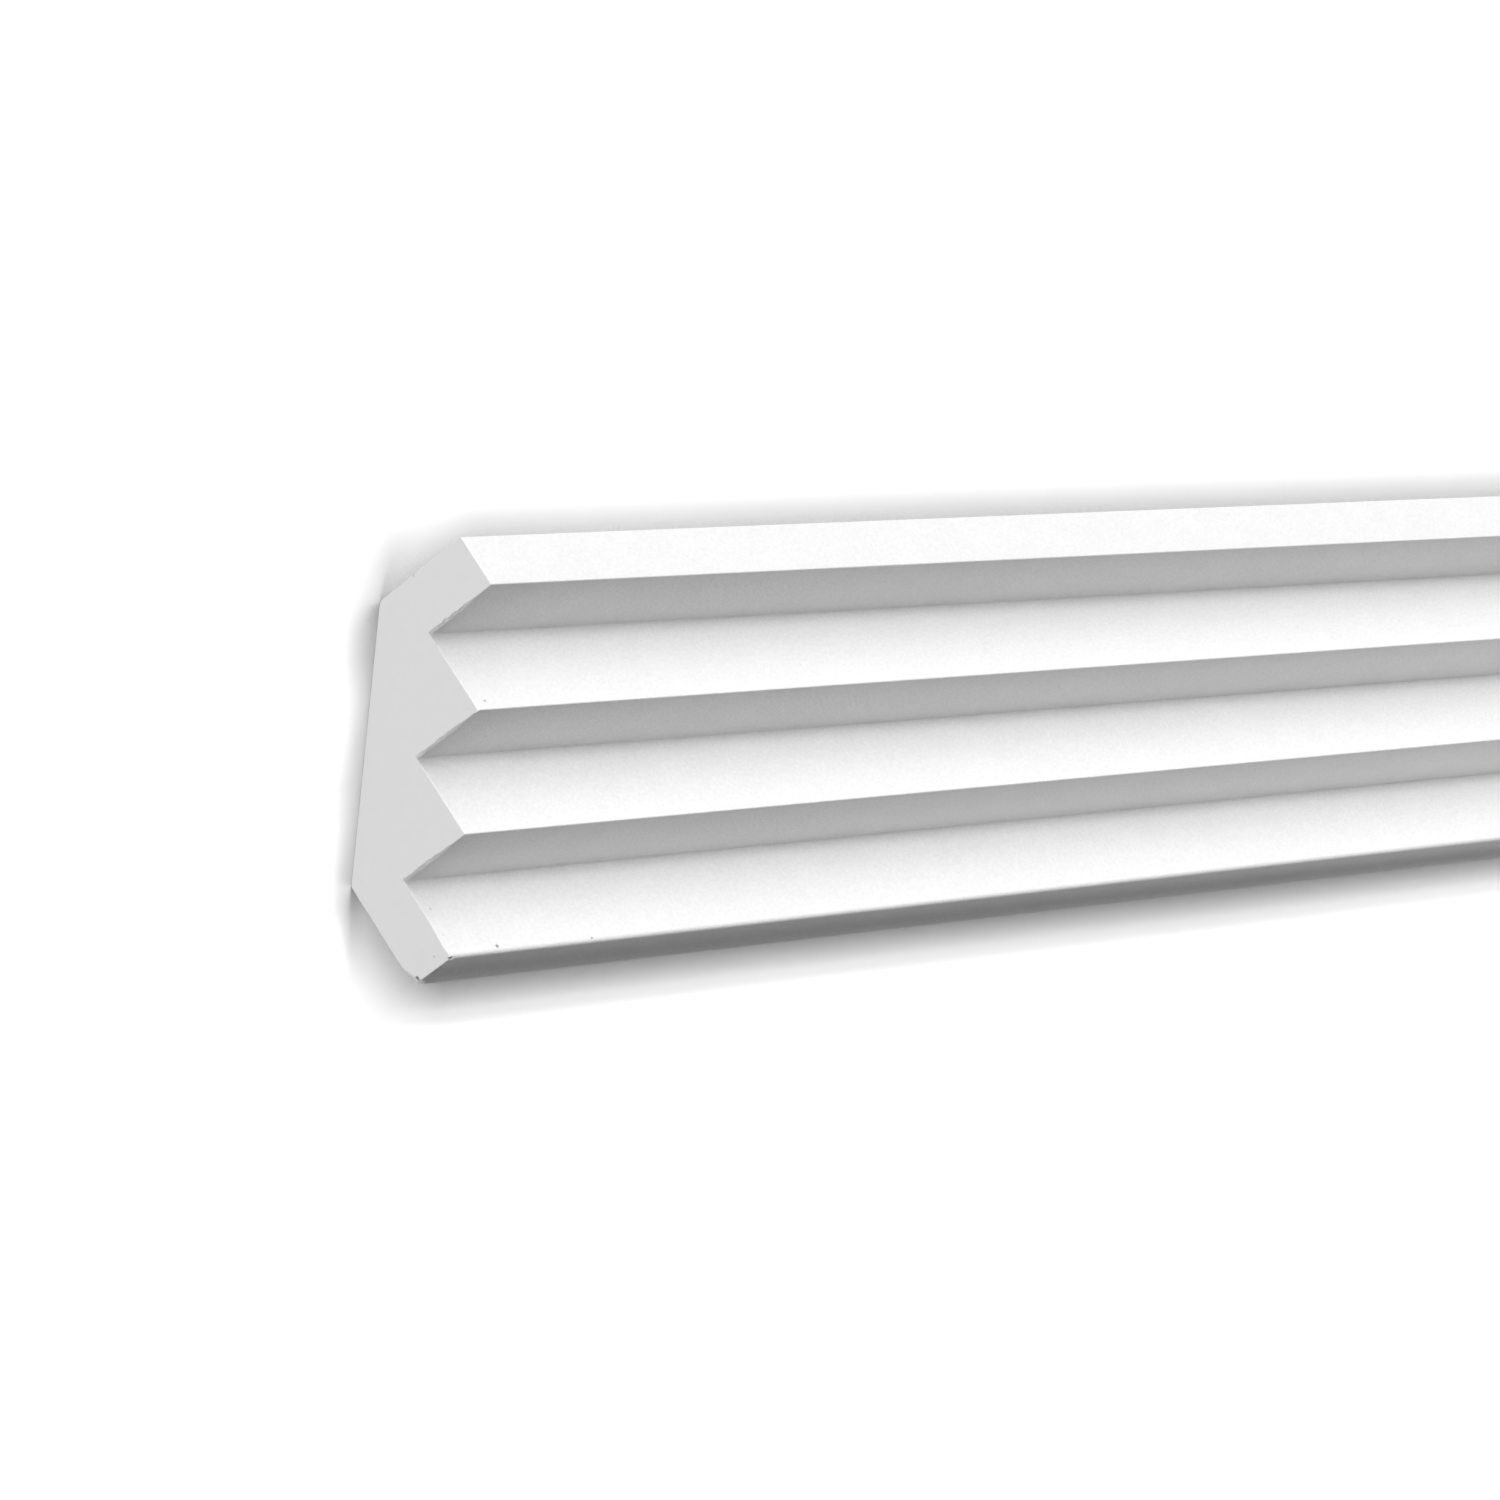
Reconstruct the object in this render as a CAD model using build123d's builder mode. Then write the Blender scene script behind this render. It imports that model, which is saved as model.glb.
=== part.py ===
from build123d import *
from math import atan2, cos, radians, sin
import os

# Stepped cornice moulding, moulded in one piece from hard white foam.
# It lies on its flat back: X along the length, Y across the width, Z up, in millimetres.

# Stock length, measured along the back.
LENGTH = 2000.0

# The staircase, as it stands in the corner of a room: rise along the wall, run along the ceiling.
STEPS = 3
STEP_RISE = 19.3
STEP_RUN = 19.3
TOP_FASCIA = 12.1
BOTTOM_RETURN = 12.1

# The two faces that are glued on, square to each other.
CEILING_SEAT = 25.2
WALL_SEAT = 25.2

# The near end is sawn off square by this angle in degrees, longest at the back.
END_LEAN = 18.0

# Rounding of the edges along the length.
ARRIS_RADIUS = 0.3
LOWEST_ARRIS_RADIUS = 1.0
VALLEY_RADIUS = 0.4
CEILING_BACK_RADIUS = 2.0
WALL_BACK_RADIUS = 0.8

# Overall size in the corner of the room, and the slope of the back there.
projection = STEPS * STEP_RUN + BOTTOM_RETURN
height = STEPS * STEP_RISE + TOP_FASCIA
back_slope = atan2(height - WALL_SEAT, projection - CEILING_SEAT)

# Corners of the section, from the corner of the room: x away from the wall, y up to the ceiling.
ceiling_front = (projection, 0)
ceiling_back = (projection - CEILING_SEAT, 0)
wall_back = (0, WALL_SEAT - height)
wall_front = (0, -height)
arrises = [(projection - n * STEP_RUN, -TOP_FASCIA - n * STEP_RISE) for n in range(STEPS + 1)]
valleys = [(projection - (n + 1) * STEP_RUN, -TOP_FASCIA - n * STEP_RISE) for n in range(STEPS)]
staircase = [arrises[0]]
for valley, arris in zip(valleys, arrises[1:]):
    staircase += [valley, arris]
outline = [ceiling_front, *staircase, wall_front, wall_back, ceiling_back]

# The section's plane at the square far end, turned so that the back lies on the floor
# and the width is centred. It faces the near end.
middle = (projection * cos(back_slope) - height * sin(back_slope)) / 2
lift = (projection - CEILING_SEAT) * sin(back_slope)
section_plane = Plane(
    origin=(LENGTH / 2, -middle, -lift),
    x_dir=(0, cos(back_slope), sin(back_slope)),
    z_dir=(-1, 0, 0),
)

with BuildPart() as cornice_moulding:
    with BuildSketch(section_plane) as section:
        with BuildLine():
            Polyline(*outline, close=True)
        make_face()

        def corner(point):
            """The vertex of the section that lies at a point."""
            return section.vertices().sort_by_distance((*point, 0))[0]

        fillet([corner(p) for p in [ceiling_front, *arrises[:-1], wall_front]], ARRIS_RADIUS)
        fillet(corner(arrises[-1]), LOWEST_ARRIS_RADIUS)
        fillet([corner(p) for p in valleys], VALLEY_RADIUS)
        fillet(corner(ceiling_back), CEILING_BACK_RADIUS)
        fillet(corner(wall_back), WALL_BACK_RADIUS)
    extrude(amount=LENGTH)

    # The saw cut at the near end.
    lean = radians(END_LEAN)
    split(bisect_by=Plane(origin=(-LENGTH / 2, 0, 0), z_dir=(cos(lean), 0, -sin(lean))), keep=Keep.TOP)

cornice_moulding.part.label = "cornice_moulding"
os.makedirs("parts", exist_ok=True)
export_step(cornice_moulding.part, "parts/cornice_moulding.step")
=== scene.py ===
# %% [markdown]
# # A stepped cornice moulding
#
# The real thing is a straight length of cornice, moulded in one piece from hard white foam and
# primed matte white. It runs round a room where the wall meets the ceiling. Here it lies on its
# flat back, with the staircase of its front looking up and its sawn end towards the camera.
#
# The CAD model already has the section, the length and the leaning saw cut. This script adds what a
# saw and a mould leave behind: torn primer along the cut, a knocked corner, pinholes and a fine grain.

import bpy
import numpy as np
from mathutils import Euler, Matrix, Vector


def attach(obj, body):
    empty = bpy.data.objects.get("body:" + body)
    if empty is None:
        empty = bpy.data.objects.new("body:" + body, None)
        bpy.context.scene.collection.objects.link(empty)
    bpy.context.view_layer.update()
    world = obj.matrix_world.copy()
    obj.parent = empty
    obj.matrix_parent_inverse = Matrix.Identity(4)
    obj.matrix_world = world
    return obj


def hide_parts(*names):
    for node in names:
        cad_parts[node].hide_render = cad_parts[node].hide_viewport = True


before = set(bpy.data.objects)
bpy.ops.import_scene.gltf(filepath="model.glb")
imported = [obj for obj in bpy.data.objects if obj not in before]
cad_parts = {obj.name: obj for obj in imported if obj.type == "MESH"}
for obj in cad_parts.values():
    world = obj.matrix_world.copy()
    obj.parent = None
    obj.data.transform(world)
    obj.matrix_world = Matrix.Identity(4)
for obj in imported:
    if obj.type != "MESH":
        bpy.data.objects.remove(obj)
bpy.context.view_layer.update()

# %% [markdown]
# ## The section
#
# On a wall the front is a staircase: risers parallel to the wall, soffits parallel to the ceiling.
# Lying on its back, the same staircase is a row of ridges with flanks at 45 degrees. The section
# could be drawn as a closed curve and swept. Instead, both the front and the back are written as
# heights over the floor, because every place across the width has just one of each. Then any column
# of the width gives a matching pair of points, and the ends can be closed with a neat grid.

# %% Sizes of the section, in millimetres
LENGTH = 2000.0
STEPS = 3
STEP = 19.3
SHORT_STEP = 12.1
SEAT = 25.2
END_ANGLE = 18.0
END_LEAN = np.tan(np.radians(END_ANGLE))
DIAGONAL = np.sqrt(0.5)

pitch = STEP / DIAGONAL
half_width = (STEPS * STEP + SHORT_STEP) * DIAGONAL
shoulder_height = SEAT * DIAGONAL
arris_height = (SEAT + SHORT_STEP) * DIAGONAL
valley_height = arris_height - STEP * DIAGONAL
half_back = half_width - shoulder_height
print(f"section: {2 * half_width:.1f} mm wide, {arris_height:.1f} mm high, ridges {pitch:.1f} mm apart")

# %% Corners of the front, from the wall's side to the ceiling's side
ARRIS_RADIUS = 0.3
LOWEST_ARRIS_RADIUS = 1.0
VALLEY_RADIUS = 0.4

ridge_y = (np.arange(2 * STEPS + 1) - STEPS) * pitch / 2
is_arris = np.arange(2 * STEPS + 1) % 2 == 0
ridge_z = np.where(is_arris, arris_height, valley_height)
ridge_radius = np.where(is_arris, ARRIS_RADIUS, VALLEY_RADIUS)
ridge_radius[0] = LOWEST_ARRIS_RADIUS

shoulder_centre = half_width - ARRIS_RADIUS / DIAGONAL
widest = shoulder_centre + ARRIS_RADIUS
print("arrises and valleys at y =", ridge_y.round(1))

# %% Heights of the front and the back
CEILING_BACK_RADIUS = 2.0
WALL_BACK_RADIUS = 0.8


def shoulder_arc(y):
    """Half height of the rounded shoulder at y: the rise of a circle over its middle."""
    return np.sqrt(np.maximum(ARRIS_RADIUS**2 - (np.abs(y) - shoulder_centre) ** 2, 0))


def front_height(y):
    """Straight flanks between the corners, each corner replaced by the circle that touches both."""
    z = np.interp(y, [-half_width, *ridge_y, half_width], [shoulder_height, *ridge_z, shoulder_height])
    for centre, top, radius, arris in zip(ridge_y, ridge_z, ridge_radius, is_arris):
        side = 1 if arris else -1
        arc = np.sqrt(np.maximum(radius**2 - (y - centre) ** 2, 0))
        z = np.where(np.abs(y - centre) < radius * DIAGONAL, top - side * (radius / DIAGONAL - arc), z)
    on_shoulder = np.abs(y) > half_width - ARRIS_RADIUS * DIAGONAL
    return np.where(on_shoulder, shoulder_height + shoulder_arc(y), z)


def back_height(y):
    """Nothing under the flat back, then the seats at 45 degrees, with circles at the turns."""
    across = np.abs(y)
    radius = np.where(y > 0, CEILING_BACK_RADIUS, WALL_BACK_RADIUS)
    run = radius * np.tan(np.pi / 8)
    along = across - half_back + run
    z = np.maximum(across - half_back, 0)
    turn = radius - np.sqrt(np.maximum(radius**2 - along**2, 0))
    z = np.where((along > 0) & (along < run * (1 + DIAGONAL)), turn, z)
    on_shoulder = across > half_width - ARRIS_RADIUS * DIAGONAL
    return np.where(on_shoulder, shoulder_height - shoulder_arc(y), z)


print("front over the back at the middle:", round(float(front_height(np.zeros(1))[0]), 2), "mm")

# %% [markdown]
# ## Where the grid is fine
#
# Most of a moulding is straight, so most of its grid can be wide. It only has to be fine round the
# arrises, at the torn edge of the saw cut, and at the pinholes that the mould left. Columns are places
# across the width and stations places along the length, and each small mark pulls a few of both to it.

# %% Pinholes in the primer, and pits in the sawn face
# Each pinhole: distance from the cut, place across the width, radius, depth, share of painted shade.
PINHOLES = np.array([
    [13.43, -39.92, 0.34, 0.55, 0.45],
    [39.68, -40.40, 0.28, 0.36, 0.40],
    [2.35, -32.43, 0.26, 0.28, 0.15],
    [1.32, -37.04, 0.22, 0.20, 0.15],
    [3.33, 15.14, 0.30, 0.34, 0.25],
    [0.50, -41.38, 0.50, 0.80, 0.90],
    [96.0, 5.2, 0.20, 0.16, 0.1],
    [171.0, -8.9, 0.18, 0.15, 0.1],
    [243.0, 20.5, 0.20, 0.16, 0.1],
])

# Each pit: place across the width, height over the floor, radius, depth, share of painted shade.
SAWN_PITS = np.array([
    [-41.99, 22.05, 0.28, 0.30, 0.15],
    [38.93, 7.58, 0.26, 0.30, 0.15],
    [-47.75, 18.45, 0.36, 1.40, 0.55],
])
print(len(PINHOLES), "pinholes and", len(SAWN_PITS), "pits")

# %% Two ways to space a grid
MARK_POINTS = 9


def gathered(centres, reach):
    """Values drawn together: each centre plus reach times an even spread from -1 to 1."""
    spread = np.linspace(-1, 1, MARK_POINTS)
    return (np.asarray(centres)[:, None] + reach * spread).ravel()


def thinned(values, least):
    """The values in order, each rounded to a multiple of least, with repeats dropped."""
    return np.unique(np.round(values / least)) * least


# %% Columns across the width
FIRST_FLANK = 0.5
LAST_FLANK = 0.4
FLANK_SPACING = 0.45
ARC_POINTS = 9
SHOULDER_POINTS = 5
SHOULDER_START = 0.2
BACK_TURN_REACH = 1.2
PINHOLE_REACH = 0.36
PIT_REACH = 0.40
LEAST_COLUMN = 0.02

arc_turn = np.sin(np.linspace(-np.pi / 4, np.pi / 4, ARC_POINTS))
shoulder_angles = np.linspace(SHOULDER_START, np.pi / 4, SHOULDER_POINTS)
shoulder_turn = shoulder_centre + ARRIS_RADIUS * np.cos(shoulder_angles)
columns = np.concatenate([
    np.arange(-half_width + FIRST_FLANK, half_width - LAST_FLANK, FLANK_SPACING),
    (ridge_y[:, None] + ridge_radius[:, None] * arc_turn).ravel(),
    gathered([half_back, -half_back], BACK_TURN_REACH),
    gathered(PINHOLES[:, 1], PINHOLE_REACH),
    gathered(SAWN_PITS[:, 0], PIT_REACH),
    shoulder_turn,
    -shoulder_turn,
])
columns = thinned(columns, LEAST_COLUMN)
columns = columns[np.abs(columns) < widest - LEAST_COLUMN / 4]
columns = np.concatenate([[-widest], columns, [widest]])
print(len(columns), "columns")

# %% Stations along the length: close together at the torn cut, then wider and wider, then even
TORN_STATIONS = np.array([0, 0.07, 0.15, 0.24, 0.35, 0.48, 0.63, 0.8, 1.05, 1.35, 1.7, 2.1, 2.6, 3.2, 4, 5])
WIDENING_FROM = 7.0
WIDENING_TO = 400.0
WIDENING_COUNT = 22
EVEN_FROM = 500.0
EVEN_COUNT = 16
PINHOLE_STATION_REACH = 0.45
LEAST_STATION = 0.01

stations = np.concatenate([
    TORN_STATIONS,
    np.geomspace(WIDENING_FROM, WIDENING_TO, WIDENING_COUNT),
    np.linspace(EVEN_FROM, LENGTH, EVEN_COUNT),
    gathered(PINHOLES[:, 0], PINHOLE_STATION_REACH),
])
stations = thinned(stations[stations >= 0], LEAST_STATION)
print(len(stations), "stations")

# %% [markdown]
# ## Torn primer, pinholes and burrs
#
# A saw tears hard primer where its teeth leave the foam. On this cut the soffits' edges are torn
# towards the valleys, the lowest riser has crumbled near its arris, and the other edges stay nearly
# sharp. All of this is one height that is added to the front along its own normal: a small loss near
# the cut whose depth and reach wander along the edge, a pit at each pinhole, and a few burrs that
# stand proud.

# %% Which edges are torn, and which has crumbled
TORN_FROM = 0.20
TORN_RAMP = 0.30
CRUMBLED_Y = -38.6
CRUMBLED_REACH = 2.6

flat_front = front_height(columns)
slope = np.gradient(flat_front, columns)
slope[[0, -1]] = np.sign(slope[[1, -2]])
to_valley = (arris_height - flat_front) / (arris_height - valley_height)

# A soffit rises towards the ceiling's side, and a riser falls.
on_soffit = np.clip(2 * slope, 0, 1) * (columns > ridge_y[0])
torn = on_soffit * np.clip((to_valley - TORN_FROM) / TORN_RAMP, 0, 1)
crumbled = np.exp(-(((columns - CRUMBLED_Y) / CRUMBLED_REACH) ** 2)) * (slope < 0)
print("torn at", int((torn > 0).sum()), "of", len(columns), "columns")

# %% How deep and how wide the tear is
WANDER_SEED = 41
WANDER_HALF = 52.0
WANDER_SPACING = 0.35

rng = np.random.default_rng(WANDER_SEED)
wander_y = np.arange(-WANDER_HALF, WANDER_HALF, WANDER_SPACING)
depth_wander, reach_wander = rng.uniform(0, 1, (2, len(wander_y)))


def tear(wander, sharp, sharp_wander, torn_more, torn_wander, crumbled_more):
    """A tear's size at each column, from a draw between nought and one that wanders along the edge.

    A sharp edge has its own size plus a share of the draw. A torn one has more, plus a share of the
    draw squared, and a crumbled one has more again.
    """
    draw = np.interp(columns, wander_y, wander)
    on_sharp = sharp + sharp_wander * draw
    return on_sharp + torn * (torn_more + torn_wander * draw**2) + crumbled_more * crumbled


tear_depth = tear(
    depth_wander, sharp=0.05, sharp_wander=0.08, torn_more=0.18, torn_wander=0.34, crumbled_more=0.40
)
tear_reach = tear(
    reach_wander, sharp=0.10, sharp_wander=0.15, torn_more=0.45, torn_wander=0.85, crumbled_more=0.75
)
print("tears up to", tear_depth.max().round(2), "mm deep and", tear_reach.max().round(2), "mm wide")

# %% Height of the relief on the front
# Each burr: distance from the cut, place across the width, spread along and across, height.
BURRS = np.array([
    [0.0, 24.95, 0.45, 0.45, 0.32],
    [0.1, 13.30, 0.35, 0.30, 0.28],
    [0.0, 34.10, 0.25, 0.40, 0.22],
    [1.9, -48.70, 0.40, 0.40, 0.20],
])


def flat_bell(first, second, radius):
    """One inside the radius, nought outside: e to the minus fourth power of distance over radius."""
    return np.exp(-((np.hypot(first, second) / radius) ** 4))


def relief(along, across):
    """Height added along the normal, in millimetres, at a distance from the cut and a place across.

    The torn edge takes off a depth that falls in a straight line to nothing at its reach.
    A pinhole takes off its depth times a flat-topped bell, and a burr adds a plain bell.
    """
    height = -tear_depth * np.clip(1 - along / tear_reach, 0, 1)
    for place, middle, radius, depth, _ in PINHOLES:
        height -= depth * flat_bell(along - place, (across - middle) / DIAGONAL, radius)
    for place, middle, spread, width, proud in BURRS:
        away = ((along - place) / spread) ** 2 + ((across - middle) / width) ** 2
        height += proud * np.exp(-away)
    return height


def painted_shade_in_pinholes(along, across):
    """Share of painted shade on the front: each pinhole's flat-topped bell times its own share, added up.
    """
    return sum(
        share * flat_bell(along - place, (across - middle) / DIAGONAL, radius)
        for place, middle, radius, _, share in PINHOLES
    )


height = relief(stations[:, None], columns[None, :])
front_painted_shade = painted_shade_in_pinholes(stations[:, None], columns[None, :])
print("relief from", height.min().round(2), "to", height.max().round(2), "mm")

# %% Points of the front and the back
LEAN_FADE = 2.0

near_x = -LENGTH / 2
far_x = LENGTH / 2
length_share = stations / LENGTH


def swept(z):
    """Each section point drawn along the length, from the leaning cut to the square far end."""
    start = near_x + END_LEAN * z
    return start + length_share[:, None] * (far_x - start)


# The outermost columns belong to the back as well, so nothing is added to them.
height[:, [0, -1]] = 0
tilt = np.hypot(1, slope)
front_y = columns - height * slope / tilt
front_z = flat_front + height / tilt
front = np.stack([swept(flat_front), front_y, front_z], axis=-1)

# At the cut the relief keeps to the leaning plane, and this fades out along the length.
front[..., 0] += END_LEAN * (front_z - flat_front) * np.exp(-stations[:, None] / LEAN_FADE)

flat_back = back_height(columns)
back = np.stack(np.broadcast_arrays(swept(flat_back), columns, flat_back), axis=-1)
print("front", front.shape[:2], "and back", back.shape[:2], "points")

# %% [markdown]
# ## The sawn face
#
# The saw leaves one flat, leaning face with a few pits, and two scratches near an arris. A single
# polygon could close the end, but it can't carry a pit. So rows of points run between the two rims,
# each row a share of the way up from the back's edge to the front's, and pits and scratches are pushed
# in square to the cut.

# %% Rows of the sawn face, between the two rims
CAP_ROWS = 26
SCRATCH_SHARE = 0.92
PIT_ROW_REACH = 0.03
SCRATCH_ROW_REACH = 0.04
LEAST_ROW = 0.002

pit_floor = back_height(SAWN_PITS[:, 0])
pit_share = (SAWN_PITS[:, 1] - pit_floor) / (front_height(SAWN_PITS[:, 0]) - pit_floor)
rows = np.concatenate([
    np.linspace(0, 1, CAP_ROWS),
    gathered(pit_share, PIT_ROW_REACH),
    gathered([SCRATCH_SHARE], SCRATCH_ROW_REACH),
])
rows = thinned(rows, LEAST_ROW)
rows = rows[(rows > 0) & (rows < 1)]
print(len(rows), "rows on the sawn face")

# %% Points of the sawn face, with its pits and two scratches of the saw
# Each scratch: place across and height of its two ends.
SCRATCHES = np.array([((12.25, 22.86), (13.58, 24.42)), ((12.30, 23.59), (13.13, 24.35))])
SCRATCH_WIDTH = 0.14
SCRATCH_DEPTH = 0.12


def sawn_loss(y, z):
    """Depth taken off the sawn face: flat-topped bells for pits, plain bells round each scratch's line."""
    loss = np.zeros_like(y)
    for middle, up, radius, depth, _ in SAWN_PITS:
        loss += depth * flat_bell(y - middle, z - up, radius)
    for start, end in SCRATCHES:
        run = end - start
        share = np.clip(((y - start[0]) * run[0] + (z - start[1]) * run[1]) / (run @ run), 0, 1)
        away = np.hypot(y - start[0] - share * run[0], z - start[1] - share * run[1])
        loss += SCRATCH_DEPTH * np.exp(-((away / SCRATCH_WIDTH) ** 2))
    return loss


def painted_shade_in_pits(y, z):
    """Share of painted shade on the sawn face: each pit's flat-topped bell times its own share, added up.
    """
    return sum(share * flat_bell(y - middle, z - up, radius) for middle, up, radius, _, share in SAWN_PITS)


flat_sawn = back[0, 1:-1] + rows[:, None, None] * (front[0, 1:-1] - back[0, 1:-1])
sawn_y = flat_sawn[..., 1]
sawn_z = flat_sawn[..., 2]
sawn_painted_shade = painted_shade_in_pits(sawn_y, sawn_z)
inwards = np.array([1, 0, -END_LEAN]) / np.hypot(1, END_LEAN)
sawn = flat_sawn + sawn_loss(sawn_y, sawn_z)[..., None] * inwards
print("sawn face:", sawn.shape[0], "by", sawn.shape[1], "inner points")

# %% [markdown]
# ## The knocked corner
#
# The lower corner of the cut has been knocked off, and small crumbs are missing at the lowest arris.
# A boolean could cut them, at the price of untidy faces. Here any point that stands out past a chip's
# plane is moved straight back onto it, so the grid keeps its order and the chip follows the foam.

# %% Chips: a point on the plane, its outward direction
CHIPS = [
    ((near_x + 4.91, -46.55, 15.11), (-0.77, -0.635, 0.03)),
    ((near_x + 6.82, -49.06, 17.08), (-0.36, -0.83, 0.42)),
    ((near_x + 8.55, -41.30, 26.05), (-0.55, -0.40, 0.72)),
]


def knocked_off(points):
    """Moves each point back along a chip's direction by as much as it stands out past the plane."""
    for place, outward in CHIPS:
        outward = np.array(outward) / np.linalg.norm(outward)
        proud = np.maximum((points - place) @ outward, 0)
        points = points - proud[..., None] * outward
    return points


front_chipped = knocked_off(front)
back_chipped = knocked_off(back)
sawn_chipped = knocked_off(sawn)
lost = np.linalg.norm(front_chipped - front, axis=-1)
print("the chips move", int((lost > 0).sum()), "points of the front, by up to", lost.max().round(2), "mm")

# %% [markdown]
# ## Putting the grid into a mesh
#
# The front and the back share their outermost columns, and the sawn face shares its rim with both,
# so the mesh is closed. The plain back needs few stations, so each of its rows stands in for all the
# stations up to the next one, and the cells between those shrink to nothing or to a slim triangle at
# the edge. Faces are written as arrays of point numbers, turned so that they look out.

# %% Stations that the back keeps
BACK_ROWS = 10

back_stations = np.concatenate([TORN_STATIONS, np.geomspace(WIDENING_FROM, LENGTH, BACK_ROWS)])
kept = np.unique(np.searchsorted(stations, back_stations - LEAST_STATION / 2))
stand_in = np.searchsorted(kept, np.arange(len(stations)), side="right") - 1
back_kept = back_chipped[kept]
print("the back keeps", len(kept), "of", len(stations), "stations")

# %% Point numbers of the three grids
station_count, column_count = front.shape[:2]
inner_count = column_count - 2
front_ids = np.arange(station_count * column_count).reshape(station_count, column_count)
back_inner = np.arange(len(kept) * inner_count).reshape(len(kept), inner_count)
sawn_inner = np.arange(len(rows) * inner_count).reshape(len(rows), inner_count)

back_ids = front_ids.copy()
back_ids[:, 1:-1] = front_ids.size + back_inner[stand_in]
sawn_ids = np.empty((len(rows) + 2, column_count), dtype=int)
sawn_ids[:] = front_ids[0]
sawn_ids[0] = back_ids[0]
sawn_ids[1:-1, 1:-1] = front_ids.size + back_inner.size + sawn_inner

grids = [front_chipped, back_kept[:, 1:-1], sawn_chipped]
points = np.concatenate([grid.reshape(-1, 3) for grid in grids])
print(len(points), "points")

# %% Faces, all looking outwards


def quads(ids):
    """Four point numbers for each cell of a grid: along the rows first, then across the columns."""
    return np.stack([ids[:-1, :-1], ids[1:, :-1], ids[1:, 1:], ids[:-1, 1:]], axis=-1).reshape(-1, 4)


front_faces = quads(front_ids)
back_faces = quads(back_ids)[:, ::-1]
sawn_faces = quads(sawn_ids)
far_faces = quads(np.stack([back_ids[-1], front_ids[-1]]))[:, ::-1]
all_faces = np.concatenate([front_faces, back_faces, sawn_faces, far_faces])

# A cell that has shrunk to a line has fewer than three different corners, and is left out.
corners = 1 + (np.diff(np.sort(all_faces, axis=1), axis=1) > 0).sum(axis=1)
whole = corners > 2
faces = [tuple(dict.fromkeys(face)) for face in all_faces[whole].tolist()]
triangles = int((corners[whole] - 2).sum())
print(len(faces), "faces, which make", triangles, "triangles")

# %% The moulding's mesh
MM_PER_METRE = 1000.0
SHARP_ANGLE = 35.0


def placed(name, data):
    """A new object in the scene, at the origin."""
    made = bpy.data.objects.new(name, data)
    bpy.context.scene.collection.objects.link(made)
    return made


mesh = bpy.data.meshes.new("stepped_cornice")
mesh.from_pydata((points / MM_PER_METRE).tolist(), [], faces)
moulding = placed("stepped_cornice", mesh)
mesh.polygons.foreach_set("use_smooth", np.ones(len(faces), dtype=bool))
mesh.set_sharp_from_angle(angle=np.radians(SHARP_ANGLE))
print("mesh of", len(mesh.vertices), "points and", len(mesh.polygons), "faces")

# %% Bare foam and painted shade in the pinholes and pits, marked on the mesh
BARE_RELIEF = 0.10

bare = np.zeros(len(all_faces), dtype=np.int32)
bare[: len(front_faces)] = np.abs(height[:-1, :-1]).ravel() > BARE_RELIEF
bare[len(front_faces) + len(back_faces):] = 1
mesh.polygons.foreach_set("material_index", bare[whole])

# Painted shade in the pinholes and pits, one share for each point; the back has none.
pit_shade = np.concatenate([front_painted_shade.ravel(), np.zeros(back_inner.size), sawn_painted_shade.ravel()])
mesh.attributes.new("pit_shade", "FLOAT", "POINT").data.foreach_set("value", pit_shade.astype(np.float32))
mesh.validate()
mesh.update()
print("bare foam on", int(bare[whole].sum()), "of", len(faces), "faces")

# %% [markdown]
# ## Finishes
#
# Shader maths reads best as arithmetic, so one small class wraps a node's output socket: adding or
# multiplying two of them adds the Math node that does it. One method makes every other node.

# %% Sockets that can be added and multiplied


class Wire:
    """An output socket of a material's node tree, or the bare tree when there is no socket yet."""

    def __init__(self, tree, socket=None):
        self.tree = tree
        self.socket = socket

    def node(self, kind, settings, inputs, output=0):
        """Adds a node: its settings first, then a value or a link for each named input."""
        made = self.tree.nodes.new(kind)
        for name, value in settings.items():
            setattr(made, name, value)
        for name, value in inputs.items():
            if isinstance(value, Wire):
                self.tree.links.new(value.socket, made.inputs[name])
            else:
                made.inputs[name].default_value = value
        return Wire(self.tree, made.outputs[output] if made.outputs else None)

    def math(self, operation, first, second):
        """Adds a Math node for two values, either of which may be a plain number."""
        return self.node("ShaderNodeMath", {"operation": operation}, {0: first, 1: second})

    def __add__(self, other):
        return self.math("ADD", self, other)

    def __sub__(self, other):
        return self.math("SUBTRACT", self, other)

    def __rsub__(self, other):
        return self.math("SUBTRACT", other, self)

    def __mul__(self, other):
        return self.math("MULTIPLY", self, other)

    __radd__ = __add__
    __rmul__ = __mul__


def new_material(name):
    """A material with an empty node tree, and the tree as a bare wire."""
    material = bpy.data.materials.new(name)
    material.use_nodes = True
    material.node_tree.nodes.clear()
    return material, Wire(material.node_tree)


def surface(bench, shader):
    """Joins a shader to the material's output."""
    bench.node("ShaderNodeOutputMaterial", {}, {"Surface": shader})


def mixed(bench, share, first, second):
    """The first colour where the share is nought, the second where it is one."""
    inputs = {"Factor": share, "A": first, "B": second}
    return bench.node("ShaderNodeMix", {"data_type": "RGBA"}, inputs, "Result")


# %% [markdown]
# The pinholes and pits show dark, and the dark is painted shade in the colour. Depth alone would not
# darken them: light bounces about in a hole in white foam, so it stays pale. The mesh carries a share
# of painted shade at each point, largest in the pits, and both finishes mix it into their colour.

# %% A matte coat, with painted shade in its pinholes
# Near-black colour of the painted shade in the pinholes and pits.
PIT_SHADE_COLOUR = (0.06, 0.06, 0.06, 1)
GLOSS = 0.05


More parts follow.
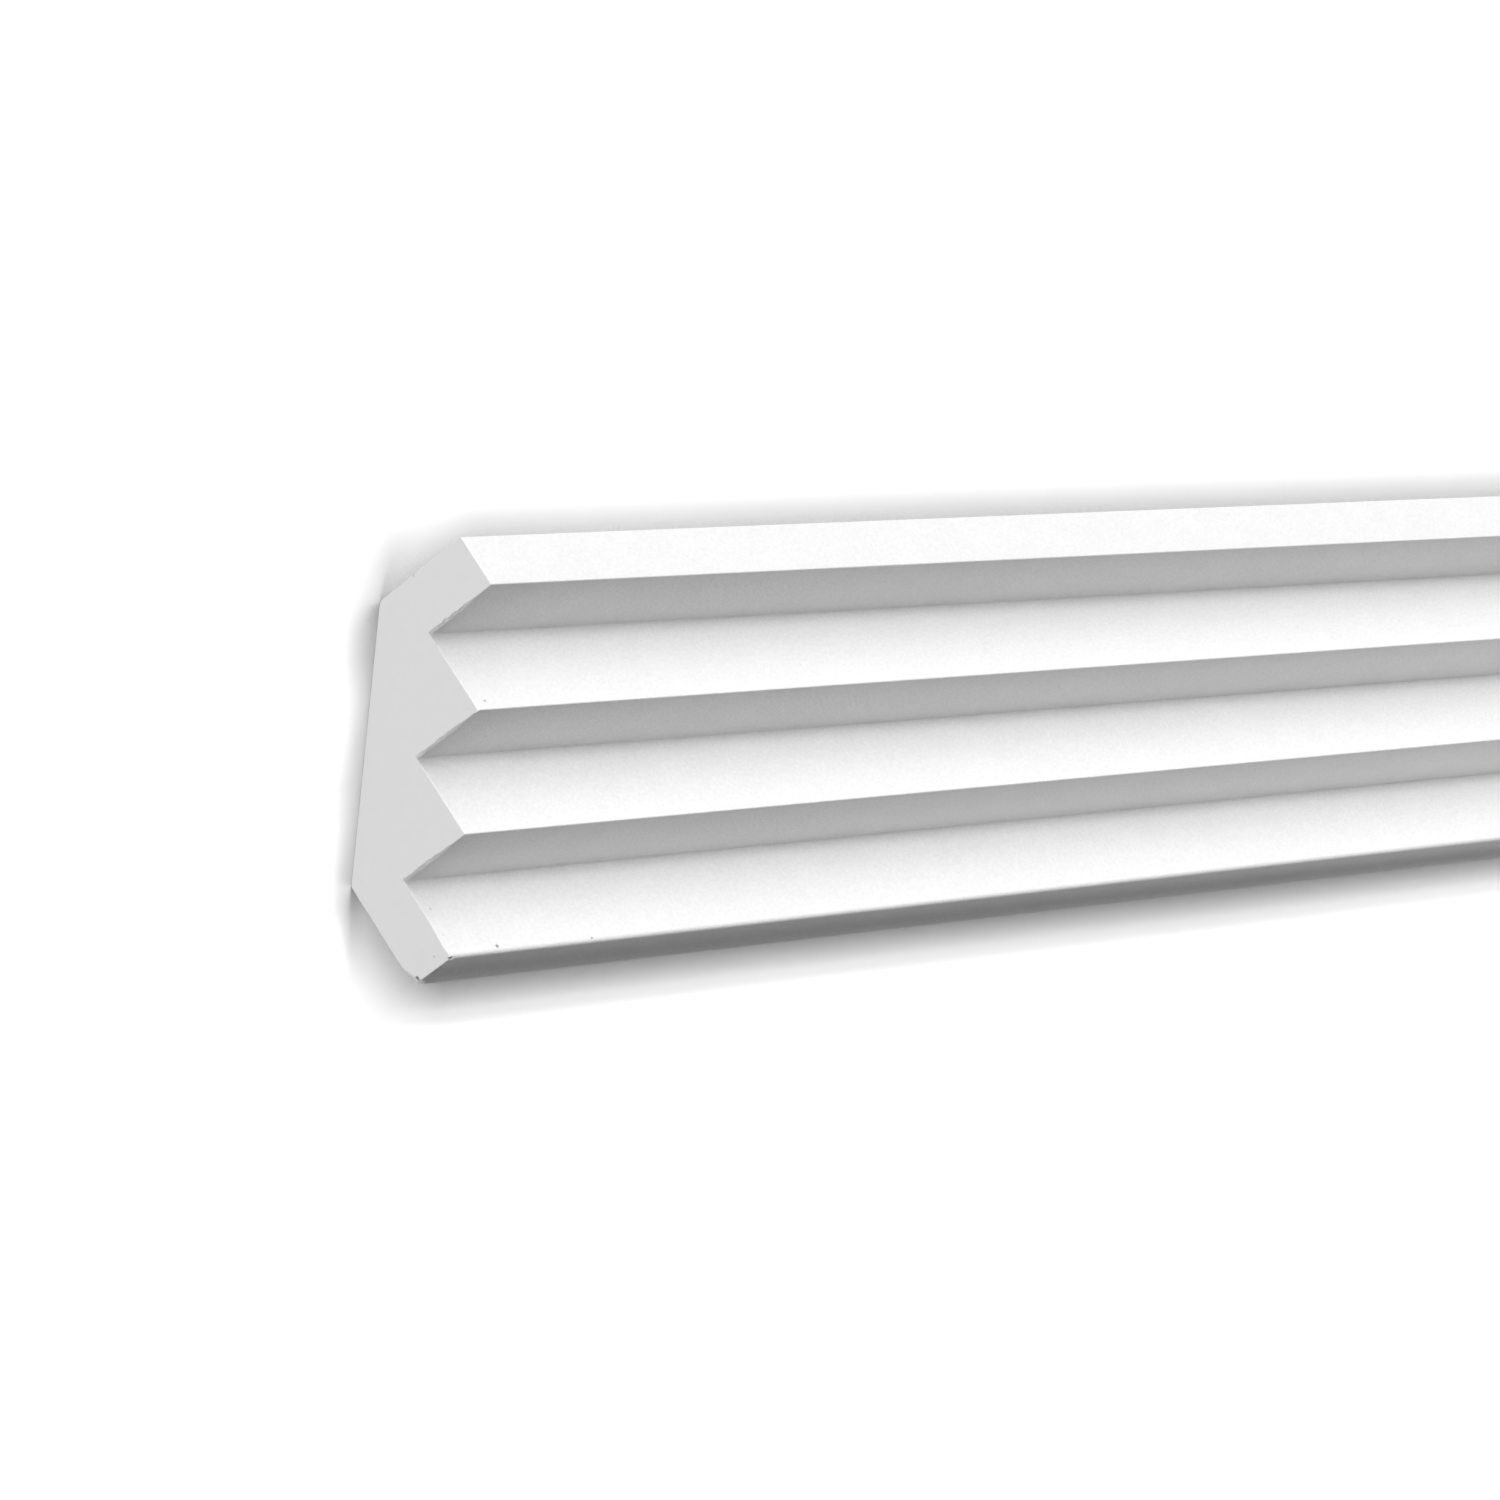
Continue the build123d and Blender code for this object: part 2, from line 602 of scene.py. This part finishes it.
def matte_coat(bench, colour, roughness, raised):
    """Joins a matte shader to the output: the colour mixed with painted shade, a roughness, a raised grain.
    """
    # Painted shade: the share stored on the mesh darkens the colour in the pinholes and pits.
    share = bench.node("ShaderNodeAttribute", {"attribute_name": "pit_shade"}, {}, "Fac")
    coat = {"Base Color": mixed(bench, share, colour, PIT_SHADE_COLOUR), "Roughness": roughness, "Normal": raised}
    surface(bench, bench.node("ShaderNodeBsdfPrincipled", {}, coat | {"Specular IOR Level": GLOSS}))


# %% [markdown]
# The primer is a thin sprayed coat: matte, with a grain of about half a millimetre that shows where the
# light rakes it, and a faint cloudiness. A bump alone would lose the grain on the faces that the light
# meets squarely, so the grain goes into the normal and the colour, and the cloudiness into the colour.

# %% Matte primer
GRAINS_PER_MM = 1.2
CLOUDS_PER_MM = 0.10
GRAIN_SHARE = 0.75
GRAIN_RELIEF = 0.0001
PRIMER_LOW = (0.78, 0.78, 0.78, 1)
PRIMER_HIGH = (0.98, 0.98, 0.98, 1)


def noise(bench, per_mm, detail, roughness):
    """Smooth noise in the moulding's own space, with so many waves to the millimetre."""
    place = bench.node("ShaderNodeTexCoord", {}, {}, "Object")
    inputs = {"Vector": place, "Scale": per_mm * MM_PER_METRE, "Detail": detail, "Roughness": roughness}
    return bench.node("ShaderNodeTexNoise", {}, inputs)


primer, bench = new_material("matte_primer")
grain = noise(bench, GRAINS_PER_MM, detail=2.0, roughness=0.6)
cloud = noise(bench, CLOUDS_PER_MM, detail=3.0, roughness=0.55)
white = mixed(bench, (1 - GRAIN_SHARE) * cloud + GRAIN_SHARE * grain, PRIMER_LOW, PRIMER_HIGH)
raised = bench.node("ShaderNodeBump", {}, {"Strength": 1.0, "Distance": GRAIN_RELIEF, "Height": grain})
matte_coat(bench, white, 0.62 + 0.12 * grain, raised)
print("primer nodes:", len(primer.node_tree.nodes))

# %% [markdown]
# Where the saw went through, the bare foam shows its closed cells, finer than the grain of the primer.
# They scatter light evenly, so the face is more even in tone, and rougher.

# %% Sawn foam
CELLS_PER_MM = 3.2
FOAM_CLOUDS_PER_MM = 0.35
CELL_RELIEF = 0.00005
FOAM_LOW = (0.845, 0.845, 0.845, 1)
FOAM_HIGH = (0.875, 0.875, 0.875, 1)

foam, bench = new_material("sawn_foam")
place = bench.node("ShaderNodeTexCoord", {}, {}, "Object")
spacing = {"Vector": place, "Scale": CELLS_PER_MM * MM_PER_METRE}
cells = bench.node("ShaderNodeTexVoronoi", {}, spacing, "Distance")
cloud = noise(bench, FOAM_CLOUDS_PER_MM, detail=3.0, roughness=0.5)
white = mixed(bench, cloud, FOAM_LOW, FOAM_HIGH)
raised = bench.node("ShaderNodeBump", {}, {"Strength": 0.3, "Distance": CELL_RELIEF, "Height": cells})
matte_coat(bench, white, 0.8 + 0.1 * cloud, raised)
print("foam nodes:", len(foam.node_tree.nodes))

# %% [markdown]
# The finished mesh takes the place of the plain solid. It doesn't move by itself, so it rides on the
# frame's one body.

# %% Hand the moulding over to the frame
mesh.materials.append(primer)
mesh.materials.append(foam)
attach(moulding, "root")
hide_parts("cornice_moulding")
print("finishes:", [material.name for material in mesh.materials])

# %% [markdown]
# ## The floor
#
# The moulding lies on a plain pale floor, which fills the picture behind it. A white floor under a
# low lamp would render grey, so its colour is lifted above white for the eye and the mirror, and the
# moulding itself gets light from a darker floor. The lift would also wash out the soft shade close to
# the moulding. So each floor point feels for the moulding within a few centimetres, by an
# ambient-occlusion node, and gives up part of its lift there, which paints a shadow into its colour.
# It feels four ways: from the ceiling's side, from the wall's side, from beyond the cut, and from
# beyond the cut's lower corner.

# %% A pale floor
FLOOR_HALF = 15.0
FLOOR_DROP = 0.00005
SQUARE = [(-1, -1), (1, -1), (1, 1), (-1, 1)]

floor_mesh = bpy.data.meshes.new("floor")
floor_corners = [(FLOOR_HALF * x, FLOOR_HALF * y, -FLOOR_DROP) for x, y in SQUARE]
floor_mesh.from_pydata(floor_corners, [], [(0, 1, 2, 3)])
floor = placed("floor", floor_mesh)
print("floor is", 2 * FLOOR_HALF, "m wide")

# %% Four ways of feeling for the moulding
FEELERS = 6


def openness(bench, looking, reach, power, lift):
    """Lift times the share of feelers that meet nothing within reach, raised to a power.

    The feelers spread round one way of looking, over half of all directions.
    """
    way = bench.node("ShaderNodeCombineXYZ", {}, {"X": looking[0], "Y": looking[1], "Z": looking[2]})
    feel = {"Distance": reach, "Normal": way}
    nothing_near = bench.node("ShaderNodeAmbientOcclusion", {"samples": FEELERS}, feel, "AO")
    return lift * bench.math("POWER", nothing_near, power)


floor_paint, bench = new_material("pale_floor")
ceiling_side = openness(bench, (-0.17, -0.73, 0.66), reach=0.0260, power=0.94, lift=3.05)
wall_side = openness(bench, (-0.40, 0.53, 0.75), reach=0.0222, power=3.0, lift=3.15)
past_cut = openness(bench, (0.91, -0.39, 0.15), reach=0.027, power=2.1, lift=4.3)
past_corner = openness(bench, (0.78, 0.55, 0.30), reach=0.024, power=2.2, lift=4.3)
print(FEELERS, "feelers each way")

# %% Where one way gives over to the next, in metres along the moulding (x) and across it (y)
CUT_TO_WALL_X = (-0.996, -0.972)
CUT_TO_CEILING_X = (-1.000, -0.978)
WALL_TO_CEILING_Y = (-0.020, 0.015)
CORNER_X = (-0.996, -1.003)
CORNER_UPPER_Y = (-0.018, -0.030)
CORNER_LOWER_Y = (-0.048, -0.036)
# Painted shadow, deeper on the ceiling's side next to the cut and on the wall's side far along.
LIT_Y = (0.010, 0.032)
LIT_LOSS = 0.37
FAR_X = (-0.88, -0.72)
FAR_LOSS = 0.10


def ramp(value, start, end):
    """Nought at the start value and before it, one at the end value and after it, straight between."""
    return value.node("ShaderNodeMapRange", {}, {"Value": value, "From Min": start, "From Max": end})


def between(first, second, share):
    """The first value where the share is nought, the second where it is one, straight between."""
    return first + share * (second - first)


floor_place = bench.node("ShaderNodeTexCoord", {}, {}, "Object")
floor_x = bench.node("ShaderNodeSeparateXYZ", {}, {"Vector": floor_place}, "X")
floor_y = bench.node("ShaderNodeSeparateXYZ", {}, {"Vector": floor_place}, "Y")
at_corner = ramp(floor_y, *CORNER_UPPER_Y) * ramp(floor_y, *CORNER_LOWER_Y) * ramp(floor_x, *CORNER_X)

# Painted shadow: the floor's lift, lowered close to the moulding.
unlit_cut = between(past_cut, past_corner, at_corner)
far_wall = wall_side * (1 - FAR_LOSS * ramp(floor_x, *FAR_X))
by_wall = between(unlit_cut, far_wall, ramp(floor_x, *CUT_TO_WALL_X))
lit_cut = past_cut * (1 - LIT_LOSS * ramp(floor_y, *LIT_Y))
by_ceiling = between(lit_cut, ceiling_side, ramp(floor_x, *CUT_TO_CEILING_X))
shade = between(by_wall, by_ceiling, ramp(floor_y, *WALL_TO_CEILING_Y))
print("floor nodes so far:", len(floor_paint.node_tree.nodes))

# %% Floor colour for the eye, and for the light
FLOOR_GREY = (0.10, 0.10, 0.10, 1)


def seen_or_mirrored(bench):
    """One for rays from the camera or by way of a mirror or glass, nought for light on its way round."""
    kinds = ["Is Camera Ray", "Is Glossy Ray", "Is Transmission Ray"]
    camera, mirror, glass = [bench.node("ShaderNodeLightPath", {}, {}, kind) for kind in kinds]
    return bench.math("MAXIMUM", bench.math("MAXIMUM", camera, mirror), glass)


tone = bench.node("ShaderNodeCombineColor", {}, {0: shade, 1: shade, 2: shade})
no_gloss = {"Roughness": 1.0, "Specular IOR Level": 0.0}
lifted = bench.node("ShaderNodeBsdfPrincipled", {}, {"Base Color": tone} | no_gloss)
plain = bench.node("ShaderNodeBsdfPrincipled", {}, {"Base Color": FLOOR_GREY} | no_gloss)
surface(bench, bench.node("ShaderNodeMixShader", {}, {0: seen_or_mirrored(bench), 1: plain, 2: lifted}))
floor_mesh.materials.append(floor_paint)
print("floor nodes:", len(floor_paint.node_tree.nodes))

# %% [markdown]
# ## Light
#
# The risers are bright and the soffits grey, so the light comes from the ceiling's side: a very wide
# soft lamp, and a smaller one above it. A sun with a wide disc stands for a big softbox, and it lights
# all two metres alike. A third lamp lights the sawn end. The soffits get what bounces off the risers,
# a little from the world, and some from a weak lamp on the wall's side, which stands well along from
# the cut so that they grow lighter along the length. The lowest face has no riser in front of it and
# would be too light, so a dark card stands beside it, as photographers do. The camera doesn't see it.

# %% Soft lamps


def sun(name, sideways, rise, strength, width):
    """A sun lamp, with its angles in degrees.

    It stands sideways towards the cut, and rises over the ceiling's side. The width is its disc's.
    """
    lamp = bpy.data.lights.new(name, "SUN")
    lamp.energy = strength
    lamp.angle = np.radians(width)
    made = placed(name, lamp)
    turn, climb = np.radians([sideways, rise])
    x, y, z = -np.sin(turn), np.cos(turn) * np.cos(climb), np.cos(turn) * np.sin(climb)
    made.rotation_euler = (np.arccos(z), 0, np.arctan2(y, x) + np.pi / 2)


sun("key", sideways=-20, rise=23, strength=2.10, width=50)
sun("high_key", sideways=-20, rise=42.5, strength=1.12, width=16)
sun("end_fill", sideways=84, rise=90, strength=2.12, width=11)

# %% Weak lamp on the wall's side
FILL_PLACE = Vector((-0.25, -0.60, 0.35))
FILL_AIM = Vector((-0.75, 0.0, 0.0))
FILL_SIZE = 0.40
FILL_WATTS = 1.3

fill_data = bpy.data.lights.new("wall_side_fill", "AREA")
fill_data.energy = FILL_WATTS
fill_data.size = FILL_SIZE
fill = placed("wall_side_fill", fill_data)
fill.location = FILL_PLACE
fill.rotation_euler = (FILL_AIM - FILL_PLACE).to_track_quat("-Z", "Y").to_euler()

# %% World: white for the eye, dim for the light
AMBIENT = 0.160
WHITE = (1, 1, 1, 1)

world = bpy.data.worlds.new("studio")
bpy.context.scene.world = world
world.use_nodes = True
world.node_tree.nodes.clear()
bench = Wire(world.node_tree)
strength = AMBIENT + seen_or_mirrored(bench) * (1 - AMBIENT)
sky = bench.node("ShaderNodeBackground", {}, {"Color": WHITE, "Strength": strength})
bench.node("ShaderNodeOutputWorld", {}, {"Surface": sky})
print("world gives", AMBIENT, "to the light")

# %% Dark card beside the lowest face, in metres
CARD_Y = -0.058
CARD_FOOT = 0.024
CARD_TOPS = [(-1.05, 0.0345), (-0.65, 0.0315), (1.02, 0.0315)]
CARD_BLACK = (0.02, 0.02, 0.02, 1)

card_mesh = bpy.data.meshes.new("dark_card")
card_corners = [(x, CARD_Y, z) for x, top in CARD_TOPS for z in (CARD_FOOT, top)]
card_mesh.from_pydata(card_corners, [], [(0, 2, 3, 1), (2, 4, 5, 3)])
card_paint, bench = new_material("dark_card")
black = bench.node("ShaderNodeBsdfPrincipled", {}, {"Base Color": CARD_BLACK} | no_gloss)
clear = bench.node("ShaderNodeBsdfTransparent", {}, {})
surface(bench, bench.node("ShaderNodeMixShader", {}, {0: seen_or_mirrored(bench), 1: black, 2: clear}))
card_mesh.materials.append(card_paint)
card = placed("dark_card", card_mesh)
print("card reaches from", CARD_FOOT, "to", CARD_TOPS[0][1], "m above the floor")

# %% [markdown]
# ## Camera
#
# The camera's place and lens were worked out from the long edges and the corners of the sawn end in
# the photograph. It looks down on the moulding, rolled so that the ceiling's side is up.

# %% The photograph's viewpoint: place in metres, turn in degrees, lens in millimetres
CAMERA_PLACE = (-1.61403, 0.23464, 0.79238)
CAMERA_TURN = (-18.5365, -40.6519, 8.7414)
CAMERA_LENS = 114.359
SENSOR_WIDTH = 36.0
FARTHEST = 100.0

camera_data = bpy.data.cameras.new("camera")
camera_data.lens = CAMERA_LENS
camera_data.sensor_width = SENSOR_WIDTH
camera_data.clip_end = FARTHEST
camera = placed("camera", camera_data)
camera.location = CAMERA_PLACE
camera.rotation_euler = Euler(np.radians(CAMERA_TURN), "XYZ")
bpy.context.scene.camera = camera
bpy.context.scene.view_settings.view_transform = "Standard"
print("camera", [round(v, 3) for v in camera.location], "lens", camera_data.lens)

# %% [markdown]
# ## Bringing the scene up to date

# %% Bring the scene up to date
bpy.context.view_layer.update()
